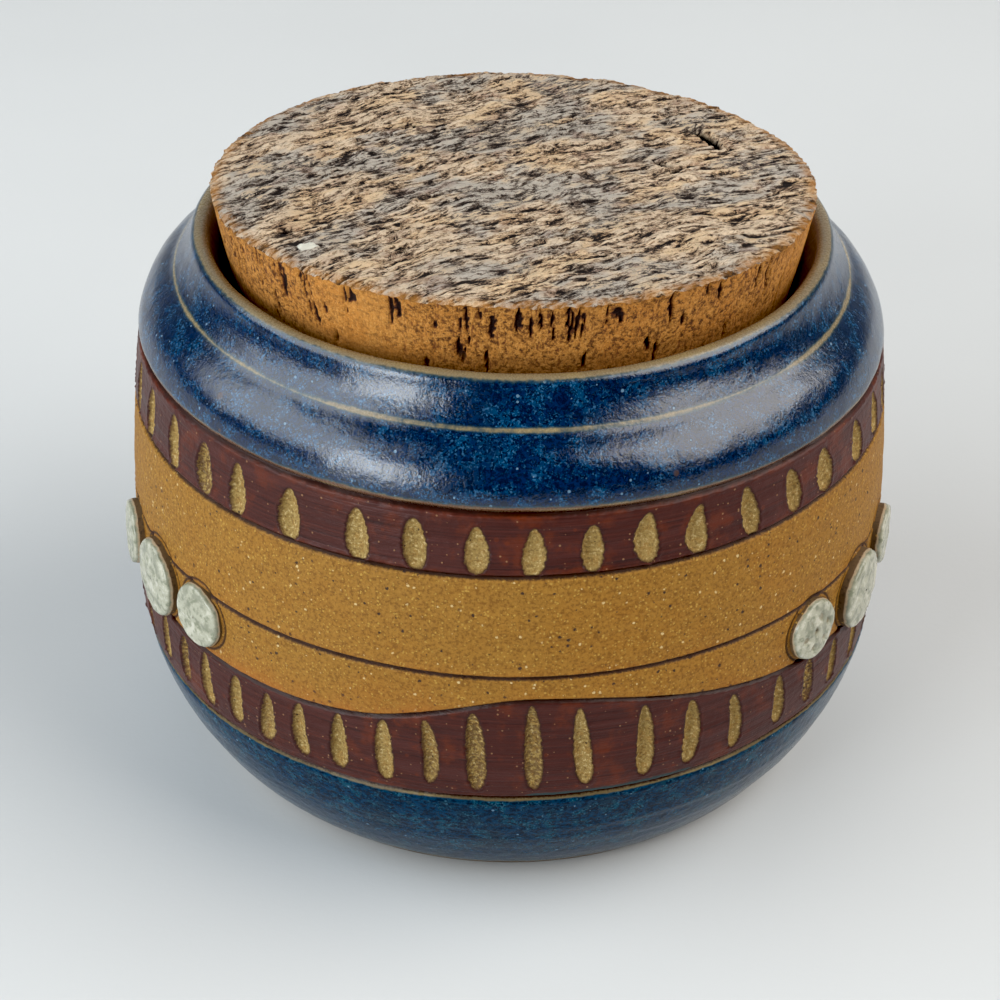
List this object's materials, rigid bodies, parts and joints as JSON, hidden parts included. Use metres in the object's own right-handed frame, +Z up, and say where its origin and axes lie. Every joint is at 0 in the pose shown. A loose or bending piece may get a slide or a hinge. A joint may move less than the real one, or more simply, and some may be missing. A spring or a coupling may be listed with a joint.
{
  "type": "pottery jar with cork lid",
  "caption": "Squat wheel-thrown stoneware storage jar with carved bands, gouged notches, applied clay discs and a thick tapered cork lid",
  "frame": {"origin": "centre of the jar's foot, on the surface it stands on", "axes": "+Z up along the jar's axis; -Y is the front, the middle of the plain field between two groups of clay discs"},
  "size_m": [0.132, 0.1323, 0.1071],
  "materials": {
    "stoneware": "satin",
    "cork": "matte",
    "disc_glaze": "gloss"
  },
  "bodies": {
    "root": {"jar": "stoneware", "cork_lid": "cork", "disc_right_1": "disc_glaze", "disc_right_2": "disc_glaze", "disc_right_3": "disc_glaze", "disc_back_1": "disc_glaze", "disc_back_2": "disc_glaze", "disc_back_3": "disc_glaze", "disc_left_1": "disc_glaze", "disc_left_2": "disc_glaze", "disc_left_3": "disc_glaze"}
  },
  "joints": []
}
